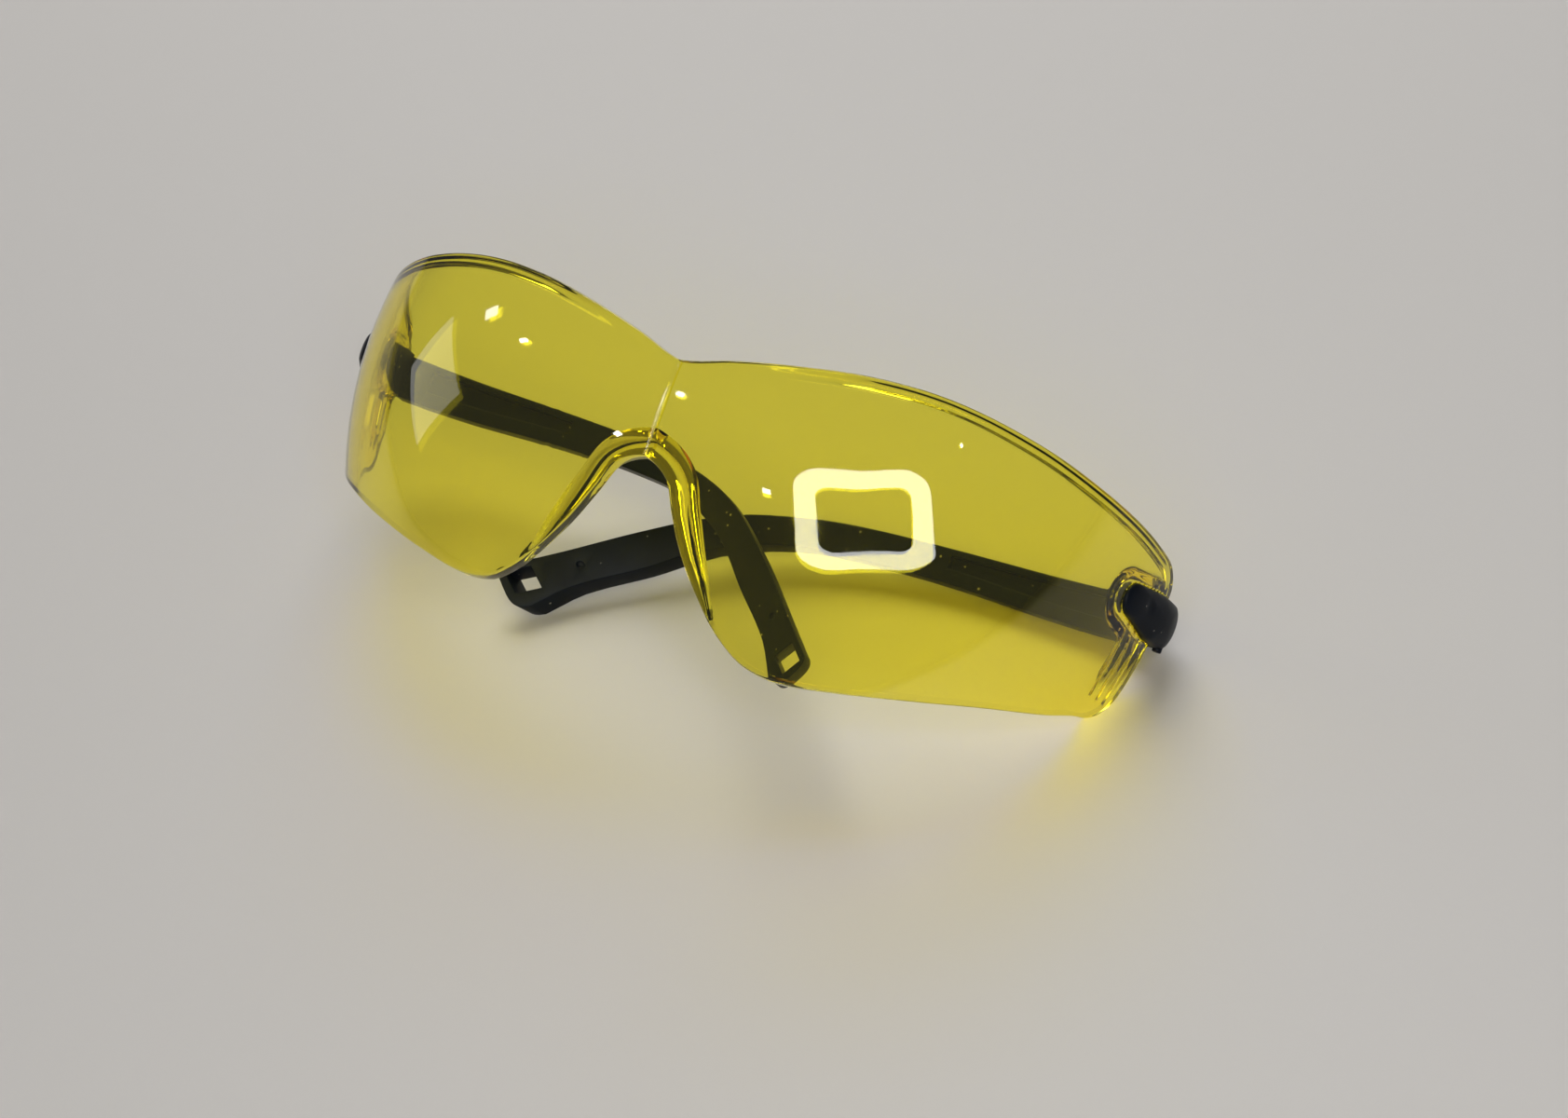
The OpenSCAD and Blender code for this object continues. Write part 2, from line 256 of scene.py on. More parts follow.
# %% Edges of the lens
LENS_END = 93.8           # half the length of the flat sheet, mm
EDGE_TRIM = 0.4
TOP_CORNER = (5, 3.5)     # run and rise of the round
BOTTOM_CORNER = (7, 6)

top_curve = smooth_curve([(0, 7.8), (8, 10.3), (18, 12.9), (29, 15.1), (41, 15.9),
                          (56, 14.8), (68, 13), (80, 11), (88, 9.4), (LENS_END, 8.2)])
bottom_curve = smooth_curve([
    (0, -8.2), (4.5, -10.5), (6.9, -14.9), (10.5, -20.5), (16.7, -27.2), (20, -29.7),
    (24, -31.7), (30, -32.3), (40, -30.7), (54, -27.6), (66, -24.5), (78, -21.6),
    (86, -19.4), (LENS_END, -18.9)])


def corner(s, run, rise):
    """How far a rear corner of the lens is rounded off at s, over a run and a rise."""
    t = np.clip((s - LENS_END + run) / run, 0, 1)
    return rise * (1 - np.sqrt(1 - t**2))


def top_z(s):
    """Height of the top edge at s."""
    return top_curve(s) - corner(s, *TOP_CORNER) - EDGE_TRIM


def bottom_z(s):
    """Height of the bottom edge at s."""
    return bottom_curve(s) + corner(s, *BOTTOM_CORNER) + EDGE_TRIM


print("lens height at s = 30:", round(float(top_z(30) - bottom_z(30)), 1), "mm")

# %% Strips along the edges
STEEPEST = 2.4            # no strip is stretched more than this


def above_bottom(s, run):
    """Lowest height at s that stays at least run away from the bottom edge."""
    k = np.linspace(-1, 1, 201)[:, None]
    run = np.broadcast_to(run, np.shape(s))
    return np.max(bottom_z(np.minimum(abs(s + k * run), LENS_END))
                  + run * np.sqrt(1 - k**2), axis=0)


def lean(s):
    """Stretch that keeps a strip along the sloping top as wide as along a level one."""
    a = top_z(np.maximum(s - 0.2, 0))
    b = top_z(np.minimum(s + 0.2, LENS_END))
    return np.minimum(np.sqrt(1 + ((b - a) / 0.4)**2), STEEPEST)


print("stretch of a strip along the top at s = 20:", round(float(lean(20)), 3))

# %% [markdown]
# ## The lens, step 2: the hinge notch
#
# Each side of the lens ends in a notch that takes the hinge block, with a raised
# rim round it. First the bend of the sheet is written down, because the notch is
# drawn square on to the bent side of the lens. The block's outline is a belt round
# three circles. On the flat pattern the notch is the same outline, measured along
# the sheet.

# %% Bend of the sheet
SIDE_R = 47
WRAP_SIZES = {"Front radius": 187, "Front length": 32.5, "Shoulder radius": 75.1,
              "Shoulder length": 10, "Side radius": SIDE_R, "Upright radius": 70,
              "Foremost height": 4.2, "Crease turn": radians(4.2)}


def bend(s):
    """Place of a point of the sheet seen from above, and its heading."""
    x, y, heading = 0, 0, WRAP_SIZES["Crease turn"]
    for part, length in (("Front", WRAP_SIZES["Front length"]),
                         ("Shoulder", WRAP_SIZES["Shoulder length"]), ("Side", LENS_END)):
        radius = WRAP_SIZES[part + " radius"]
        turned = heading + min(s, length) / radius
        x += radius * (sin(turned) - sin(heading))
        y += radius * (cos(heading) - cos(turned))
        s, heading = max(s - length, 0), turned
    return x, y, heading


REAR_X, REAR_Y, REAR_HEADING = bend(LENS_END)
print("rear edge at", round(REAR_X, 1), round(REAR_Y, 1), "mm, heading",
      round(degrees(REAR_HEADING), 1), "degrees")

# %% Outline of the hinge block, then of the notch
HEAD = [(36.2, 0.15, 2.6), (43.6, -0.3, 3.75), (48.9, -0.3, 3.75)]   # y, z, radius
NOTCH_TILT = radians(15)
SEAT_GAP = 0.05           # between block and lens, mm
NOTCH_X = REAR_X - SIDE_R * sin(REAR_HEADING + NOTCH_TILT)
NOTCH_Y = REAR_Y + SIDE_R * cos(REAR_HEADING + NOTCH_TILT)
NOTCH_S = LENS_END - SIDE_R * (REAR_HEADING + NOTCH_TILT - pi / 2)


def arc(circle, start, stop, n):
    """Points on a circle (y, z, radius) between two angles in degrees."""
    y, z, r = circle
    turns = [radians(start + (stop - start) * i / n) for i in range(n + 1)]
    return [(y + r * cos(t), z + r * sin(t)) for t in turns]


def head_outline(grow):
    """The block's outline, moved outward by grow."""
    front, middle, rear = [(y, z, r + grow) for y, z, r in HEAD]
    run = hypot(middle[0] - front[0], middle[1] - front[1])
    along = degrees(atan2(middle[1] - front[1], middle[0] - front[0]))
    side = degrees(acos((front[2] - middle[2]) / run))
    return (arc(front, along + side, 360 + along - side, 28)
            + arc(middle, along - side, -90, 4) + arc(rear, -90, 90, 30)
            + arc(middle, 90, along + side, 4))


def on_pattern(y):
    """Place along the pattern of a point seen square on to the notch."""
    return NOTCH_S + SIDE_R * asin((y - NOTCH_Y) / SIDE_R)


notch = [(on_pattern(y), z) for y, z in head_outline(SEAT_GAP)]
print("notch from s =", round(min(p[0] for p in notch), 1), "to the rear edge, square at",
      round(NOTCH_S, 2))

# %% [markdown]
# ## The lens, step 3: thickness everywhere
#
# The front is smooth, apart from a crease between the eyes. The back carries the
# relief: a ridge along the nose cut-out, a rim round each notch, three short
# upright ribs near the lower rear edge and a slim bead behind the top edge, which
# shows as a golden line. All of it belongs to one moulding, so it isn't put on as
# separate strips. It is written as one depth for the front and one for the back
# at every point of the pattern, and a fine grid of points carries it.

# %% Distance and rounding helpers
def distance_to(outline, s, z):
    """Distance from points (s, z) to a closed outline."""
    pts = np.array(outline)
    nxt = np.roll(pts, -1, axis=0)
    best = np.full(s.shape, 1e9)
    for (x0, y0), (x1, y1) in zip(pts, nxt):
        dx, dy = x1 - x0, y1 - y0
        t = np.clip(((s - x0) * dx + (z - y0) * dy) / (dx * dx + dy * dy + 1e-12), 0, 1)
        best = np.minimum(best, np.hypot(s - x0 - t * dx, z - y0 - t * dy))
    return best


def rounding(d, r):
    """Fall of a rounded edge of radius r at distance d from it."""
    d = np.clip(d, 0, r)
    return r - np.sqrt(np.maximum(r * r - (r - d)**2, 0))


print("a 1 mm round has fallen", round(float(rounding(0.5, 1)), 3), "mm half way to its edge")

# %% Stations along the sheet
CREASE_W = 0.42           # half its width
FOOT_S = 17.6             # where the nose ridge ends
RIDGE_W = 4.4
RIDGE_H = 2.2
RIDGE_W_LEAST = 1.5

half = np.concatenate([
    [0.1, 0.2, 0.3, CREASE_W], np.linspace(0.7, FOOT_S, 32),
    np.linspace(FOOT_S, 76, 38)[1:], np.linspace(76, 84.5, 40)[1:],
    np.linspace(84.5, 93, 62)[1:],
    93 + (LENS_END - 93) * np.sin(np.linspace(0, pi / 2, 9)[1:])])
stations = np.concatenate([-half[::-1], [0], half])
out = np.abs(stations)
top, stretch = top_z(out), lean(out)
fade = np.where(out < FOOT_S, 1 - (out / FOOT_S)**6, 0)
ridge_width = np.maximum(RIDGE_W * fade, RIDGE_W_LEAST)
ridge_height = RIDGE_H * fade**0.9
print(len(stations), "stations, from", stations[0], "to", stations[-1], "mm")

# %% Rows from the bottom edge to the top edge
LENS_T = 2.2
EDGE_R = 0.25
edge_turn = np.radians([0, 18, 36, 54, 72, 90])
ridge_f = np.linspace(0, 1, 15)[1:]
# The rows of the open field lie closer near both edges, where the relief is.
field = np.interp(np.linspace(0, 1, 97)[1:], [0, 0.3, 0.88, 1], [0, 0.45, 0.962, 1])
rows, front, back = [], [], []
for a in edge_turn:
    rows.append(above_bottom(out, EDGE_R * (1 - cos(a))))
    front.append(EDGE_R * (1 - sin(a)) + 0 * out)
    back.append(LENS_T - EDGE_R * (1 - sin(a)) + 0 * out)
for f in ridge_f:
    rows.append(above_bottom(out, EDGE_R + ridge_width * f))
    front.append(0 * out)
    back.append(LENS_T + ridge_height * (1 - abs(2 * f - 1)**1.5))
low, high = rows[-1], top - stretch * EDGE_R
for f in field:
    rows.append(low + (high - low) * f)
    front.append(0 * out)
    back.append(LENS_T + 0 * out)
for a in edge_turn[-2::-1]:
    rows.append(top - stretch * EDGE_R * (1 - cos(a)))
    front.append(EDGE_R * (1 - sin(a)) + 0 * out)
    back.append(LENS_T - EDGE_R * (1 - sin(a)) + 0 * out)
z, front, back = (np.array(x).T for x in (rows, front, back))
s = np.repeat(stations[:, None], z.shape[1], axis=1)
print(z.shape[1], "rows; thickest at the nose ridge:", round(float((back - front).max()), 2), "mm")

# %% Crease, rims, ribs and bead
CREASE_DEPTH = 0.18
RIM_W = 2.8
RIM_H = 1.0
NOTCH_EDGE_R = 0.3
RIBS = (86.8, 89.5, 92.2)           # places along the sheet, 2.7 mm apart
RIB_HALF_W = 0.95
BEAD_W = 1.9
BEAD_H = 0.55
BEAD_START, BEAD_GROWTH = 10, 20    # it grows over 20 mm, from 10 mm off the crease

away = np.abs(s)
to_end = LENS_END - away
end_fall = rounding(to_end, EDGE_R)
front = np.maximum(front, end_fall)
groove = 0.5 + 0.5 * np.cos(pi * np.clip(away / CREASE_W, 0, 1))
front = np.maximum(front, CREASE_DEPTH * groove)

near = distance_to(notch, away, z)
rear = away > 70
front = np.where(rear, np.maximum(front, rounding(near, NOTCH_EDGE_R)), front)
rim = 0.5 + 0.5 * np.cos(pi * np.clip(near / RIM_W, 0, 1))
back = np.where(rear & (to_end > EDGE_R), back + RIM_H * rim, back)
foot = np.clip((z + 15) / 4, 0, 1)
for place in RIBS:
    rib = np.clip(1 - ((away - place) / RIB_HALF_W)**2, 0, 1)**1.5
    back = back + np.where(z < -1, rib * foot * (1 - rim), 0)

to_edge = np.minimum((top[:, None] - z) / stretch[:, None], to_end + 9 * (z < 2))
off_line = (to_edge - EDGE_R - BEAD_W / 2) / (BEAD_W / 2)
bead = BEAD_H * np.clip(1 - off_line**2, 0, 1)**1.5
bead = bead * np.clip((away - BEAD_START) / BEAD_GROWTH, 0, 1)
back = np.where(bead > 0, np.maximum(back, LENS_T + bead), back)
back = np.where(to_end < EDGE_R, np.minimum(back, LENS_T - end_fall), back)
print("deepest relief:", round(float((back - front).max()), 2), "mm")

# %% Skin the grid
m, n = z.shape
verts = np.concatenate([np.stack([s, front, z], -1).reshape(-1, 3),
                        np.stack([s, back, z], -1).reshape(-1, 3)])
faces = []
for i in range(m - 1):
    for j in range(n - 1):
        a, b = i * n + j, (i + 1) * n + j
        faces.append((a, b, b + 1, a + 1))
        a, b = a + m * n, b + m * n
        faces.append((a, a + 1, b + 1, b))
    for j, flip in ((0, False), (n - 1, True)):
        a, b = i * n + j, (i + 1) * n + j
        wall = (a, a + m * n, b + m * n, b)
        faces.append(wall[::-1] if flip else wall)
for i, flip in ((0, False), (m - 1, True)):
    for j in range(n - 1):
        a = i * n + j
        wall = (a, a + 1, a + 1 + m * n, a + m * n)
        faces.append(wall[::-1] if flip else wall)
lens = new_object("yellow_lens", verts, faces)
print("pattern:", m, "stations,", n, "rows,", len(faces), "faces")

# %% [markdown]
# ## The lens, step 4: cut the notches
#
# A Boolean modifier takes the notches out of the flat pattern, as a punch would.
# It is done while the sheet is flat, because the cutter is then a plain prism.

# %% Cut both notches
def face_outwards(obj):
    """Turn all faces of a closed mesh outwards."""
    skin = bmesh.new()
    skin.from_mesh(obj.data)
    bmesh.ops.recalc_face_normals(skin, faces=skin.faces)
    skin.to_mesh(obj.data)
    skin.free()
    return obj


def prism(name, outline, low_y, high_y):
    """A closed prism along Y over an outline of (x, z) points."""
    count = len(outline)
    pts = [(x, low_y, z) for x, z in outline] + [(x, high_y, z) for x, z in outline]
    sides = [(i, (i + 1) % count, (i + 1) % count + count, i + count) for i in range(count)]
    caps = [tuple(range(count))[::-1], tuple(range(count, 2 * count))]
    return face_outwards(new_object(name, pts, sides + caps))


def cut(obj, cutter):
    """Take a cutter's shape out of a piece, and delete the cutter."""
    step = obj.modifiers.new("cut", "BOOLEAN")
    step.operation = "DIFFERENCE"
    step.object = cutter
    step.solver = "EXACT"
    bake_modifiers(obj)
    bpy.data.objects.remove(cutter)


PUNCH = (-3, 9)
for side in (1, -1):
    cut(lens, prism("punch", [(side * s, z) for s, z in notch], *PUNCH))
print("lens after the cuts:", len(lens.data.polygons), "faces")

# %% [markdown]
# ## The lens, step 5: bend it
#
# The sheet follows a rule, so Geometry Nodes bend it: a nearly flat arc in
# front, a short shoulder, a tight arc round each temple, one arc from top to
# bottom and a faint crease in the middle. The radii are inputs of the tree, which
# is how a designer would try another face shape. The shoulder eases the jump from
# one radius to the next, because polished plastic shows such a jump as a kink in
# everything that it mirrors.

# %% Start and end of a tree
def new_tree(name, sizes):
    """An empty tree with a mesh, some sizes and a material as inputs."""
    tree = bpy.data.node_groups.new(name, "GeometryNodeTree")
    tree.interface.new_socket("Geometry", in_out="OUTPUT", socket_type="NodeSocketGeometry")
    kinds = [("Geometry", "Geometry"), *((size, "Float") for size in sizes),
             ("Material", "Material")]
    for label, kind in kinds:
        tree.interface.new_socket(label, in_out="INPUT", socket_type="NodeSocket" + kind)
    return tree, add(tree, "NodeGroupInput").outputs


def finish_tree(tree, given, place):
    """Move the points to their place, make instances real and set the material."""
    moved = add(tree, "GeometryNodeSetPosition", {"Geometry": given["Geometry"],
                                                  "Position": place})
    real = add(tree, "GeometryNodeRealizeInstances", {"Geometry": moved})
    dressed = add(tree, "GeometryNodeSetMaterial", {"Geometry": real,
                                                    "Material": given["Material"]})
    add(tree, "NodeGroupOutput", {0: dressed})
    print(tree.name, "has", len(tree.nodes), "nodes")


print("sizes of the wrap:", ", ".join(WRAP_SIZES))

# %% Geometry Nodes tree that wraps the sheet, seen from above
wrap, given = new_tree("wrap_lens", WRAP_SIZES)
where = add(wrap, "GeometryNodeInputPosition")
s, d, z = add(wrap, "ShaderNodeSeparateXYZ", {0: where}).outputs
side = add(wrap, MATH, {0: s}, operation="SIGN")
left = add(wrap, MATH, {0: s}, operation="ABSOLUTE")
heading, across, behind = given["Crease turn"], 0.0, 0.0
for part in ("Front", "Shoulder", "Side"):
    radius = given[part + " radius"]
    length = left
    if part != "Side":
        length = add(wrap, MATH, {0: left, 1: given[part + " length"]}, operation="MINIMUM")
    turn = add(wrap, MATH, {0: length, 1: radius}, operation="DIVIDE")
    turned = add(wrap, MATH, {0: heading, 1: turn}, operation="ADD")
    for way in ("SINE", "COSINE"):
        before = add(wrap, MATH, {0: heading}, operation=way)
        after = add(wrap, MATH, {0: turned}, operation=way)
        pair = {0: after, 1: before} if way == "SINE" else {0: before, 1: after}
        change = add(wrap, MATH, pair, operation="SUBTRACT")
        step = add(wrap, MATH, {0: radius, 1: change}, operation="MULTIPLY")
        if way == "SINE":
            across = add(wrap, MATH, {0: across, 1: step}, operation="ADD")
        else:
            behind = add(wrap, MATH, {0: behind, 1: step}, operation="ADD")
    left = add(wrap, MATH, {0: left, 1: length}, operation="SUBTRACT")
    heading = turned
print("arcs done:", len(wrap.nodes), "nodes")

# %% The same tree, seen from the side
rise = add(wrap, MATH, {0: z, 1: given["Foremost height"]}, operation="SUBTRACT")
full = add(wrap, MATH, {0: given["Upright radius"], 1: 2.0}, operation="POWER")
risen = add(wrap, MATH, {0: rise, 1: rise}, operation="MULTIPLY")
square = add(wrap, MATH, {0: full, 1: risen}, operation="SUBTRACT")
root = add(wrap, MATH, {0: square}, operation="SQRT")
sink = add(wrap, MATH, {0: given["Upright radius"], 1: root}, operation="SUBTRACT")
depth = add(wrap, MATH, {0: sink, 1: d}, operation="ADD")
inward, backward = (
    add(wrap, MATH, {0: add(wrap, MATH, {0: heading}, operation=way), 1: depth},
        operation="MULTIPLY") for way in ("SINE", "COSINE"))
off_middle = add(wrap, MATH, {0: across, 1: inward}, operation="SUBTRACT")
x = add(wrap, MATH, {0: side, 1: off_middle}, operation="MULTIPLY")
y = add(wrap, MATH, {0: behind, 1: backward}, operation="ADD")
finish_tree(wrap, given, add(wrap, "ShaderNodeCombineXYZ", {0: x, 1: y, 2: z}))

# %% [markdown]
# ## The lens, step 6: run the tree
#
# A tree works on a mesh through a modifier. Its inputs are set by the identifiers
# of their sockets, before the mesh is looked at for the first time. The result is
# kept as a plain mesh, because the piece won't change its shape any more.

# %% Run a tree on a mesh
def run_tree(obj, tree, sizes):
    """Bend a mesh with a tree, its inputs set by their identifiers."""
    step = obj.modifiers.new("bend", "NODES")
    step.node_group = tree
    for socket in tree.interface.items_tree:
        if socket.in_out == "INPUT" and socket.name in sizes:
            step[socket.identifier] = sizes[socket.name]
    return bake_modifiers(obj)


run_tree(lens, wrap, {**WRAP_SIZES, "Material": polycarbonate})
shade(lens, 35)
print("lens:", [round(v, 1) for v in lens.dimensions], "mm")

# %% [markdown]
# ## The temples, step 1: a flat arm
#
# A temple is a bar 3.5 mm thick whose height changes along its length, from the
# hinge to the hook behind the ear. It is drawn flat too: top and bottom edge
# through knots, a squarish round end, a slot for a neck cord, a long panel sunk
# in the inner face and the dimple that the moulding gate leaves.

# %% Outline of a temple
BODY_U = 3.2
TIP_REACH = 2.6
TOP = [(BODY_U, 3.5), (17.8, 2.9), (37.8, 2.2), (52.8, 1), (62.8, -1),
       (72.8, -4.8), (82.8, -12.2), (92.8, -21.2), (96.8, -24.8)]
BOTTOM = [(BODY_U, -3.8), (17.8, -3.8), (37.8, -3.4), (52.8, -4.2), (62.8, -5.9),
          (72.8, -10.6), (80.8, -17.9), (88.8, -24.9), (92.7, -30.3)]
upper, lower = smooth_curve(TOP), smooth_curve(BOTTOM)


def tip_points(n=16):
    """The squarish round end of a temple."""
    a, b = np.array(TOP[-1]), np.array(BOTTOM[-1])
    half_span = (a - b) / 2
    out = np.array([half_span[1], -half_span[0]]) * TIP_REACH / np.hypot(*half_span)
    points = []
    for i in range(1, n):
        c, t = cos(pi * i / n), sin(pi * i / n)
        points.append((a + b) / 2 + half_span * np.sign(c) * abs(c)**0.6 + out * t**0.6)
    return [tuple(p) for p in points]


us = np.linspace(BODY_U, TOP[-1][0], 70)
ls = np.linspace(BODY_U, BOTTOM[-1][0], 70)
outline = ([(u, float(upper(u))) for u in us] + tip_points()
           + [(u, float(lower(u))) for u in ls[::-1]])
print("a temple reaches", round(max(u for u, _ in outline), 1), "mm behind its pin and drops",
      round(-min(v for _, v in outline), 1), "mm")

# %% A bar over an outline
def bar(name, outline, x0, x1):
    """A prism along X over an outline of (y, z) points."""
    obj = prism(name, [(y, z) for y, z in outline], x0, x1)
    obj.data.transform(Matrix(((0, 1, 0, 0), (1, 0, 0, 0), (0, 0, 1, 0), (0, 0, 0, 1))))
    obj.data.flip_normals()
    return obj


print("the outline of a temple has", len(outline), "points")

# %% Cut and soften a flat temple
TEMPLE_T = 3.5
PANEL_DEPTH = 0.9
SLOT_AT, SLOT_TURN = (94.8, -26.7), radians(-41)
SLOT_HALF = (1.8, 1.7)              # half its length and half its height
GATE_AT, GATE_R, GATE_DEPTH = (88.8, -21), 0.5, 0.3
SOFT_EDGE = 0.5
STRIP = 1.5


def make_arm(name):
    """One temple, flat: +Y back from the hinge, X from the inner face outward.

    At the end it is sliced across into strips, so that it can bend smoothly."""
    arm = bar(name, outline, 0, TEMPLE_T)
    ramp = np.linspace(9, 38, 20)
    panel = ([(u, float(upper(u)) - 1.2) for u in ramp]
             + [(u, float(lower(u)) + 2.4) for u in ramp[::-1]])
    cut(arm, bar("panel", panel, -1, PANEL_DEPTH))
    c, t = cos(SLOT_TURN), sin(SLOT_TURN)
    corners = [(i * SLOT_HALF[0], j * SLOT_HALF[1])
               for i, j in ((-1, -1), (1, -1), (1, 1), (-1, 1))]
    slot = [(SLOT_AT[0] + y * c - z * t, SLOT_AT[1] + y * t + z * c) for y, z in corners]
    cut(arm, bar("slot", slot, -1, 5))
    gate = [(GATE_AT[0] + GATE_R * cos(a), GATE_AT[1] + GATE_R * sin(a))
            for a in np.arange(24) * pi / 12]
    cut(arm, bar("gate", gate, -1, GATE_DEPTH))
    soft = arm.modifiers.new("soft edges", "BEVEL")
    soft.width = SOFT_EDGE
    soft.segments = 4
    soft.limit_method = "ANGLE"
    soft.angle_limit = radians(45)
    soft.use_clamp_overlap = True
    bake_modifiers(arm)
    strips = bmesh.new()
    strips.from_mesh(arm.data)
    for u in np.arange(3 * STRIP, 102, STRIP):
        parts = strips.verts[:] + strips.edges[:] + strips.faces[:]
        bmesh.ops.bisect_plane(strips, geom=parts, plane_co=(0, u, 0), plane_no=(0, 1, 0))
    strips.to_mesh(arm.data)
    strips.free()
    return arm


arms = {side: make_arm("arm_" + side) for side in ("left", "right")}
print("flat arms:", [len(arm.data.polygons) for arm in arms.values()], "faces")

# %% [markdown]
# ## The temples, step 2: bow them
#
# Seen from above the arm is bowed, so that it hugs the head. A second tree gives
# each point its place on a circle, with the radius and the distance from the
# hinge axis as inputs.

# %% Geometry Nodes tree that bows a temple
BOW_R = 147
INNER_W = 1.2             # from the hinge axis in to the inner face
bow, given = new_tree("bow_temple", ("Bow radius", "Inner offset"))
where = add(bow, "GeometryNodeInputPosition")
w, u, z = add(bow, "ShaderNodeSeparateXYZ", {0: where}).outputs
radius = add(bow, MATH, {0: given["Bow radius"], 1: w}, operation="ADD")
full = add(bow, MATH, {0: radius, 1: radius}, operation="MULTIPLY")
run = add(bow, MATH, {0: u, 1: u}, operation="MULTIPLY")
square = add(bow, MATH, {0: full, 1: run}, operation="SUBTRACT")
reach = add(bow, MATH, {0: square}, operation="SQRT")
centre = add(bow, MATH, {0: given["Bow radius"], 1: given["Inner offset"]}, operation="ADD")
x = add(bow, MATH, {0: reach, 1: centre}, operation="SUBTRACT")
finish_tree(bow, given, add(bow, "ShaderNodeCombineXYZ", {0: x, 1: u, 2: z}))

# %% [markdown]
# ## The temples, step 3: hinge end and folding
#
# At the hinge each arm narrows to a knuckle that turns on the pin. The knuckle
# is a short cylinder with a neck that joins it to the arm. Then each arm is
# turned to the angle at which it was folded, and the right one is mirrored.

# %% Knuckle of a temple
KNUCKLE_R = 1.3
KNUCKLE_H = 3.0
PIN_HOLE_R = 0.8


def slab(name, outline, z0, z1):
    """A prism along Z over an outline of (x, y) points."""
    obj = prism(name, outline, z0, z1)
    obj.data.transform(Matrix(((1, 0, 0, 0), (0, 0, 1, 0), (0, 1, 0, 0), (0, 0, 0, 1))))
    obj.data.flip_normals()
    return obj


def round_outline(r, n=32):
    """A circle as a closed outline."""
    return [(r * cos(2 * pi * i / n), r * sin(2 * pi * i / n)) for i in range(n)]


def knuckle(name):
    """The eye round the pin and the neck behind it."""
    back = BODY_U + 0.6
    rim = [(KNUCKLE_R * cos(a), KNUCKLE_R * sin(a)) for a in np.linspace(-pi, 0, 33)]
    shape = rim + [(KNUCKLE_R, back), (-INNER_W, back), (-INNER_W, 1.6)]
    eye = slab(name, shape, -KNUCKLE_H / 2, KNUCKLE_H / 2)
    cut(eye, slab("pin_hole", round_outline(PIN_HOLE_R), -5, 5))
    eye.data.materials.append(nylon)
    return eye


print("knuckle", 2 * KNUCKLE_R, "mm wide,", KNUCKLE_H, "mm tall")

# %% Finish both temples
HINGE = Vector((71.3, 49.6, -0.3))
FOLD = {"left": 72.9, "right": 86.1}

temples = {}
for side, arm in arms.items():
    run_tree(arm, bow, {"Bow radius": BOW_R, "Inner offset": INNER_W, "Material": nylon})
    eye = knuckle("eye_" + side)
    joined = bmesh.new()
    joined.from_mesh(arm.data)
    joined.from_mesh(eye.data)
    joined.to_mesh(arm.data)
    joined.free()
    bpy.data.objects.remove(eye)
    fold = Matrix.Translation(HINGE) @ Matrix.Rotation(radians(FOLD[side]), 4, "Z")
    arm.data.transform(fold)
    if side == "right":
        arm.data.transform(mirror_x)
        arm.data.flip_normals()
    shade(arm, 40)
    temples[side] = arm
    print("temple", side, len(arm.data.polygons), "faces")

# %% [markdown]
# ## Hinge blocks
#
# Each block shows as a smooth pebble in the notch of the lens. It is moulded in
# one piece: a domed face that swells towards the rear to cover the hinge, a small
# dimple, straight walls that fill the notch and a gap at mid height where the
# temple's knuckle turns. The face is drawn as rings that close in on its middle.

# %% Faces of a hinge block
SWELL, SWELL_MORE = 1.4, 0.95       # height of the dome, and what the rear adds
DIMPLE_AT, DIMPLE_SIZE, DIMPLE_DEPTH = (39, 0.3), (0.5, 0.9), 0.3
PROUD = 0.15
WALL, WALL_MORE = 2.4, 1.5          # depth behind the lens face, and what the hinge adds


def smooth_step(t):
    """An even climb from 0 to 1 that starts and ends level."""
    t = min(max(t, 0), 1)
    return t * t * (3 - 2 * t)


def evenly(points, n):
    """The same closed outline with n evenly spaced points."""
    pts = np.array(points + points[:1])
    run = np.concatenate([[0], np.cumsum(np.hypot(*np.diff(pts, axis=0).T))])
    at = np.arange(n) / n * run[-1]
    return list(zip(np.interp(at, run, pts[:, 0]), np.interp(at, run, pts[:, 1])))


def lens_face(y):
    """Outer face of the lens, seen square on to the notch."""
    return NOTCH_X + sqrt(SIDE_R**2 - (y - NOTCH_Y)**2)


def block_face(y, z, share):
    """Outer face of the block, at a share of the way from its middle to its edge."""
    swell = SWELL + SWELL_MORE * smooth_step((y - 38) / 9)
    off = [(v - at) / size for v, at, size in zip((y, z), DIMPLE_AT, DIMPLE_SIZE)]
    dimple = DIMPLE_DEPTH * exp(-off[0]**2 - off[1]**2)
    return lens_face(y) + PROUD + swell * sqrt(1 - share**2) - dimple


def block_back(y):
    """Inner face of the block: thin behind the lens, deeper at the hinge."""
    return lens_face(y) - WALL - WALL_MORE * smooth_step((y - 41) / 1.5)


print("a block is", round(block_face(46, 0, 0) - block_back(46), 1), "mm deep at the hinge")

# %% Skin of rings
PIVOT = Vector((REAR_X, REAR_Y, 0))
BLOCK_MIDDLE = (44.5, -0.3)


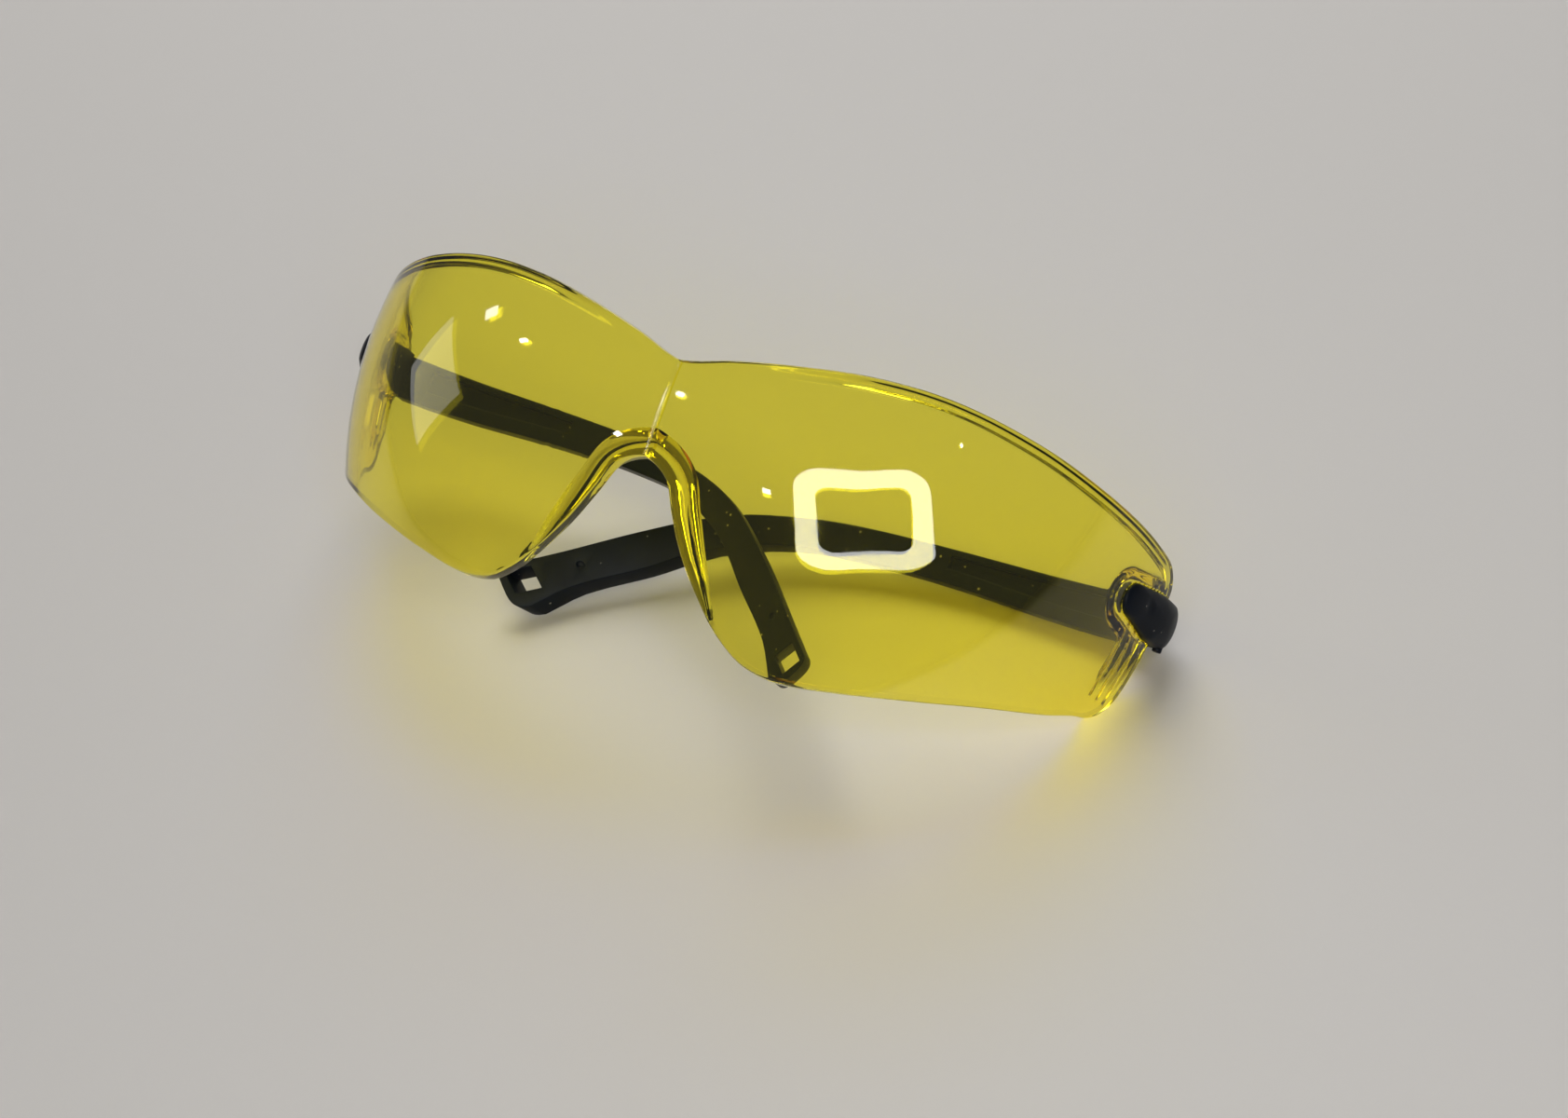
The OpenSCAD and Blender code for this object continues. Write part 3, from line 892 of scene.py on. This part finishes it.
def block_skin(name):
    """The closed skin of a block on the left side, without its room for the hinge."""
    edge = evenly(head_outline(0), 96)
    rings = [[(block_back(y), y, z) for y, z in edge]]
    for turn in np.radians(np.linspace(0, 88, 20)):
        share = cos(turn)
        ring = []
        for y, z in edge:
            y = BLOCK_MIDDLE[0] + share * (y - BLOCK_MIDDLE[0])
            z = BLOCK_MIDDLE[1] + share * (z - BLOCK_MIDDLE[1])
            ring.append((block_face(y, z, share), y, z))
        rings.append(ring)
    count = len(edge)
    faces = [tuple(range(count)), tuple(range((len(rings) - 1) * count,
                                              len(rings) * count))[::-1]]
    for k in range(len(rings) - 1):
        for i in range(count):
            a, b = k * count + i, k * count + (i + 1) % count
            faces.append((a, a + count, b + count, b))
    block = face_outwards(new_object(name, [p for ring in rings for p in ring], faces))
    block.data.transform(Matrix.Translation(PIVOT) @ Matrix.Rotation(-NOTCH_TILT, 4, "Z")
                         @ Matrix.Translation(-PIVOT))
    return block


print("the rings of a block close in on", BLOCK_MIDDLE)

# %% Two hinge blocks with room for the temples
ROOM_R = KNUCKLE_R + 0.15
ROOM_LOW, ROOM_HIGH = -2.05, 1.45
SWEEP_R = 2.9                       # reach of the temple's end round the pin


def make_block(side):
    """One hinge block, drawn on the left and mirrored for the right."""
    block = block_skin("block_" + side)
    gap = [(ROOM_R * cos(a), ROOM_R * sin(a)) for a in np.linspace(-pi / 2, 0, 13)]
    gap += [(ROOM_R, 7), (-12, 7), (-12, -ROOM_R)]
    sweep = ([(-12, -1.6), (-SWEEP_R, -1.6)]
             + [(SWEEP_R * cos(a), SWEEP_R * sin(a)) for a in np.linspace(pi, pi / 2, 17)]
             + [(0, 8), (-12, 8)])
    for outline, low, high in ((gap, ROOM_LOW, ROOM_HIGH), (sweep, -9, 9)):
        outline = [(HINGE.x + x, HINGE.y + y) for x, y in outline]
        cut(block, slab("room", outline, low, high))
    if side == "right":
        block.data.transform(mirror_x)
        block.data.flip_normals()
    block.data.materials.append(nylon)
    shade(block, 40)
    return block


blocks = {side: make_block(side) for side in ("left", "right")}
print("blocks:", [len(block.data.polygons) for block in blocks.values()], "faces")

# %% [markdown]
# ## Hinge pins
#
# The pins already have their form in the solid model, but their edges are knife
# sharp. A copy of each mesh is merged, its flat triangles are dissolved, and a
# Bevel modifier breaks the edges, so that they catch a thin line of light. The
# lower end is drawn 0.7 mm shorter, because only a low nub shows under the block.

# %% Soften the pins
PIN_EDGE = 0.00015        # metres, as the solid model is
PIN_SHORTER = 0.0007
PIN_SEGMENTS = 3


def soften(node, name):
    """A bevelled copy of a pin with a lower nub. It is in metres on the table already."""
    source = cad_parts[node]
    obj = bpy.data.objects.new(name, source.data.copy())
    bpy.context.scene.collection.objects.link(obj)
    mesh = bmesh.new()
    mesh.from_mesh(obj.data)
    bmesh.ops.remove_doubles(mesh, verts=mesh.verts, dist=2e-6)
    up = (lay_down.to_3x3() @ Vector((0, 0, 1))).normalized()
    low = min(v.co.dot(up) for v in mesh.verts)
    for v in mesh.verts:
        if v.co.dot(up) < low + 0.0001:
            v.co += up * PIN_SHORTER
    bmesh.ops.dissolve_limit(mesh, angle_limit=radians(1.5), verts=mesh.verts,
                             edges=mesh.edges)
    mesh.to_mesh(obj.data)
    mesh.free()
    obj.data.materials.clear()
    obj.data.materials.append(nylon)
    soft = obj.modifiers.new("soft edges", "BEVEL")
    soft.width = PIN_EDGE
    soft.segments = PIN_SEGMENTS
    soft.limit_method = "ANGLE"
    soft.angle_limit = radians(40)
    bake_modifiers(obj)
    shade(obj, 40)
    return obj


pins = {side: soften("hinge_pin_" + side, "pin_" + side) for side in ("left", "right")}
print("pins:", [len(pin.data.polygons) for pin in pins.values()], "faces")

# %% [markdown]
# ## Lay it on the table
#
# Each piece's points are turned from millimetres in the wearer's frame to metres
# on the table. Then it is tied to its body, and the plain solid that it stands
# for is hidden.

# %% Tie each piece to its body
for obj in (lens, *temples.values(), *blocks.values()):
    obj.data.transform(to_metres @ lay_down)
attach(lens, "front")
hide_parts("lens")
for side in ("left", "right"):
    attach(temples[side], side + "_temple")
    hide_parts("temple_" + side)
    for obj, node in ((blocks[side], "hinge_block_"), (pins[side], "hinge_pin_")):
        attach(obj, "front")
        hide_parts(node + side)
print("tied to their bodies:", 1 + 3 * len(temples), "pieces")

# %% [markdown]
# ## Studio, step 1: a pale table
#
# A plain matt sheet, much larger than the glasses, so that its edge never shows.

# %% Table top
floor = new_object("table_top", [(x, y, 0) for x, y in
                                 ((-3, -3), (3, -3), (3, 3), (-3, 3))], [(0, 1, 2, 3)])
pale, tree = new_material("pale_table")
matt = add(tree, "ShaderNodeBsdfPrincipled", {"Base Color": hex_colour("#CFCBC6"),
                                              "Roughness": 0.6})
add(tree, "ShaderNodeOutputMaterial", {"Surface": matt})
floor.data.materials.append(pale)
print("table:", round(floor.dimensions.x, 1), "m wide")

# %% [markdown]
# ## Studio, step 2: the lamps
#
# Clear glossy plastic shows its form by what it mirrors, so the room stays dark
# and the lamps are few: a ring lamp round the camera, a large soft lamp behind the
# glasses that the front of the lens can't mirror, a soft side lamp, a small window
# and small ceiling lamps that leave sharp glints. A lamp that the lens should
# mirror at a known point is placed by its direction from that point. Each lamp is
# given by its radiance, so its size can change and its brightness stays.


# %% Lamps
def soft_lamp(name, place, aim, width, height, radiance):
    """A rectangular area lamp that looks at a point and is evenly bright."""
    data = bpy.data.lights.new(name, "AREA")
    data.shape = "RECTANGLE"
    data.size = width
    data.size_y = height
    data.energy = radiance * pi * width * height
    lamp = bpy.data.objects.new(name, data)
    lamp.location = place
    lamp.rotation_mode = "QUATERNION"
    lamp.rotation_quaternion = (Vector(aim) - Vector(place)).to_track_quat("-Z", "Y")
    bpy.context.scene.collection.objects.link(lamp)
    return lamp


def mirror_lamp(name, start, azimuth, height, distance, width, length, radiance):
    """A lamp in a given direction, in degrees, from a point of the lens."""
    a, h = radians(azimuth), radians(height)
    way = Vector((sin(a) * cos(h), cos(a) * cos(h), sin(h)))
    start = Vector(start)
    return soft_lamp(name, start + way * distance, start, width, length, radiance)


ring_lamp = soft_lamp("ring_lamp", (0.217, -0.333, 0.382), (0.0373, -0.0089, 0.0423),
                      0.35, 0.3, 8.5)
soft_lamp("back_lamp", (-0.35, 0.75, 0.95), (0, 0, 0.03), 0.9, 0.9, 3.9)
mirror_lamp("side_lamp", (-0.038, -0.007, 0.048), -103, 19, 1.0, 0.35, 0.3, 1.6)
mirror_lamp("window", (-0.032, 0.002, 0.057), -97.5, 38, 1.0, 0.045, 0.06, 10)

CEILING_AWAY = 1.5
CEILING = [((-0.0224, -0.0024, 0.056), -108.0, 42.6), ((0.0066, -0.0055, 0.0554), -163.2, 62.3),
           ((0.0229, -0.0114, 0.0458), 174.5, 46.3), ((0.0461, 0.0053, 0.0477), 108.7, 53.9),
           ((-0.0037, -0.0124, 0.0501), -137.0, 42.0)]
for i, (start, azimuth, height) in enumerate(CEILING):
    mirror_lamp(f"ceiling_lamp_{i + 1}", start, azimuth, height, CEILING_AWAY,
                0.024, 0.03, 28)
print("lamps:", 4 + len(CEILING))

# %% [markdown]
# ## Studio, step 3: the frame of the ring lamp
#
# The ring lamp is a rectangular frame. The lens is curved, so it would mirror a
# square frame as a skewed one. The frame is therefore flexed the other way: each
# point of the lamp is moved by a constant and by shares of its place, of the
# squares and of the product. Light leaves between two boxes with round corners.

# %% Shape of the ring lamp
ring_lamp.data.use_nodes = True
tree = ring_lamp.data.node_tree
spot = add(tree, "ShaderNodeNewGeometry").outputs["Parametric"]
size = (ring_lamp.data.size, ring_lamp.data.size_y, 0)
centred = add(tree, VECTOR_MATH, {0: spot, 1: (0.5, 0.5, 0)}, operation="SUBTRACT")
metres = add(tree, VECTOR_MATH, {0: centred, 1: size}, operation="MULTIPLY")
right, up, _ = add(tree, "ShaderNodeSeparateXYZ", {0: metres}).outputs
factors = [right, up, *(add(tree, MATH, {0: a, 1: b}, operation="MULTIPLY")
                        for a, b in ((right, right), (right, up), (up, up)))]


def flexed(terms):
    """A constant plus shares of right, up and their squares and product."""
    total = terms[0]
    for value, share in zip(factors, terms[1:]):
        part = add(tree, MATH, {0: value, 1: share}, operation="MULTIPLY")
        total = add(tree, MATH, {0: total, 1: part}, operation="ADD")
    return total


flat = add(tree, "ShaderNodeCombineXYZ", {
    0: flexed((0.23, 7.108, -1.312, -10.86, 12.395, -0.261)),
    1: flexed((-0.111, 0.577, 8.326, 5.429, -5.776, 0.347))})
away = add(tree, VECTOR_MATH, {0: flat}, operation="ABSOLUTE")


def rounded_box(half_width, half_height, radius):
    """Distance outside a box with round corners."""
    core = (half_width - radius, half_height - radius, 0)
    past = add(tree, VECTOR_MATH, {0: away, 1: core}, operation="SUBTRACT")
    past = add(tree, VECTOR_MATH, {0: past, 1: (0, 0, 0)}, operation="MAXIMUM")
    run = add(tree, VECTOR_MATH, {0: past}, operation="LENGTH")
    return add(tree, MATH, {0: run.outputs["Value"], 1: radius}, operation="SUBTRACT")


outer = add(tree, MATH, {0: rounded_box(1, 1, 0.4), 1: 0.0}, operation="LESS_THAN")
inner = add(tree, MATH, {0: rounded_box(0.72, 0.63, 0.2), 1: 0.0}, operation="GREATER_THAN")
lit = add(tree, MATH, {0: outer, 1: inner}, operation="MULTIPLY")
tree.links.new(lit.outputs[0], tree.nodes["Emission"].inputs["Strength"])
print("ring lamp:", len(tree.nodes), "nodes")

# %% [markdown]
# ## Studio, step 4: sky and tone
#
# A dim even sky fills the shadows a little. It stays weak, because the lens
# mirrors all of it as a grey veil over the yellow. The Standard view keeps the
# yellow as strong as it is.

# %% Sky and tone
world = bpy.data.worlds.new("sky")
world.use_nodes = True
world.node_tree.nodes["Background"].inputs["Color"].default_value = hex_colour("#F2F4F8")
world.node_tree.nodes["Background"].inputs["Strength"].default_value = 0.14
bpy.context.scene.world = world
bpy.context.scene.view_settings.view_transform = "Standard"
print("view:", bpy.context.scene.view_settings.view_transform)

# %% [markdown]
# ## Studio, step 5: the camera
#
# The camera stands half a metre away, in front of the wearer's left side, and
# looks down at the glasses. Its focal length is given in pixels of a picture 1683
# pixels wide, which is how a fitted camera comes out.

# %% Camera
CAMERA_AT = Vector((0.22634, -0.31506, 0.35493))
CAMERA_AIM = Vector((0.02222, -0.00892, 0.03))
CAMERA_ROLL = radians(-9.566)
FOCAL_PIXELS = 3500
PICTURE_PIXELS = 1683
SENSOR = 36
data = bpy.data.cameras.new("camera")
data.sensor_width = SENSOR
data.lens = SENSOR * FOCAL_PIXELS / PICTURE_PIXELS
data.clip_start = 0.01
camera = bpy.data.objects.new("camera", data)
camera.location = CAMERA_AT
camera.rotation_mode = "QUATERNION"
camera.rotation_quaternion = ((CAMERA_AIM - CAMERA_AT).to_track_quat("-Z", "Y")
                              @ Quaternion((0, 0, 1), CAMERA_ROLL))
bpy.context.scene.collection.objects.link(camera)
bpy.context.scene.camera = camera
print("camera lens:", round(data.lens, 1), "mm")
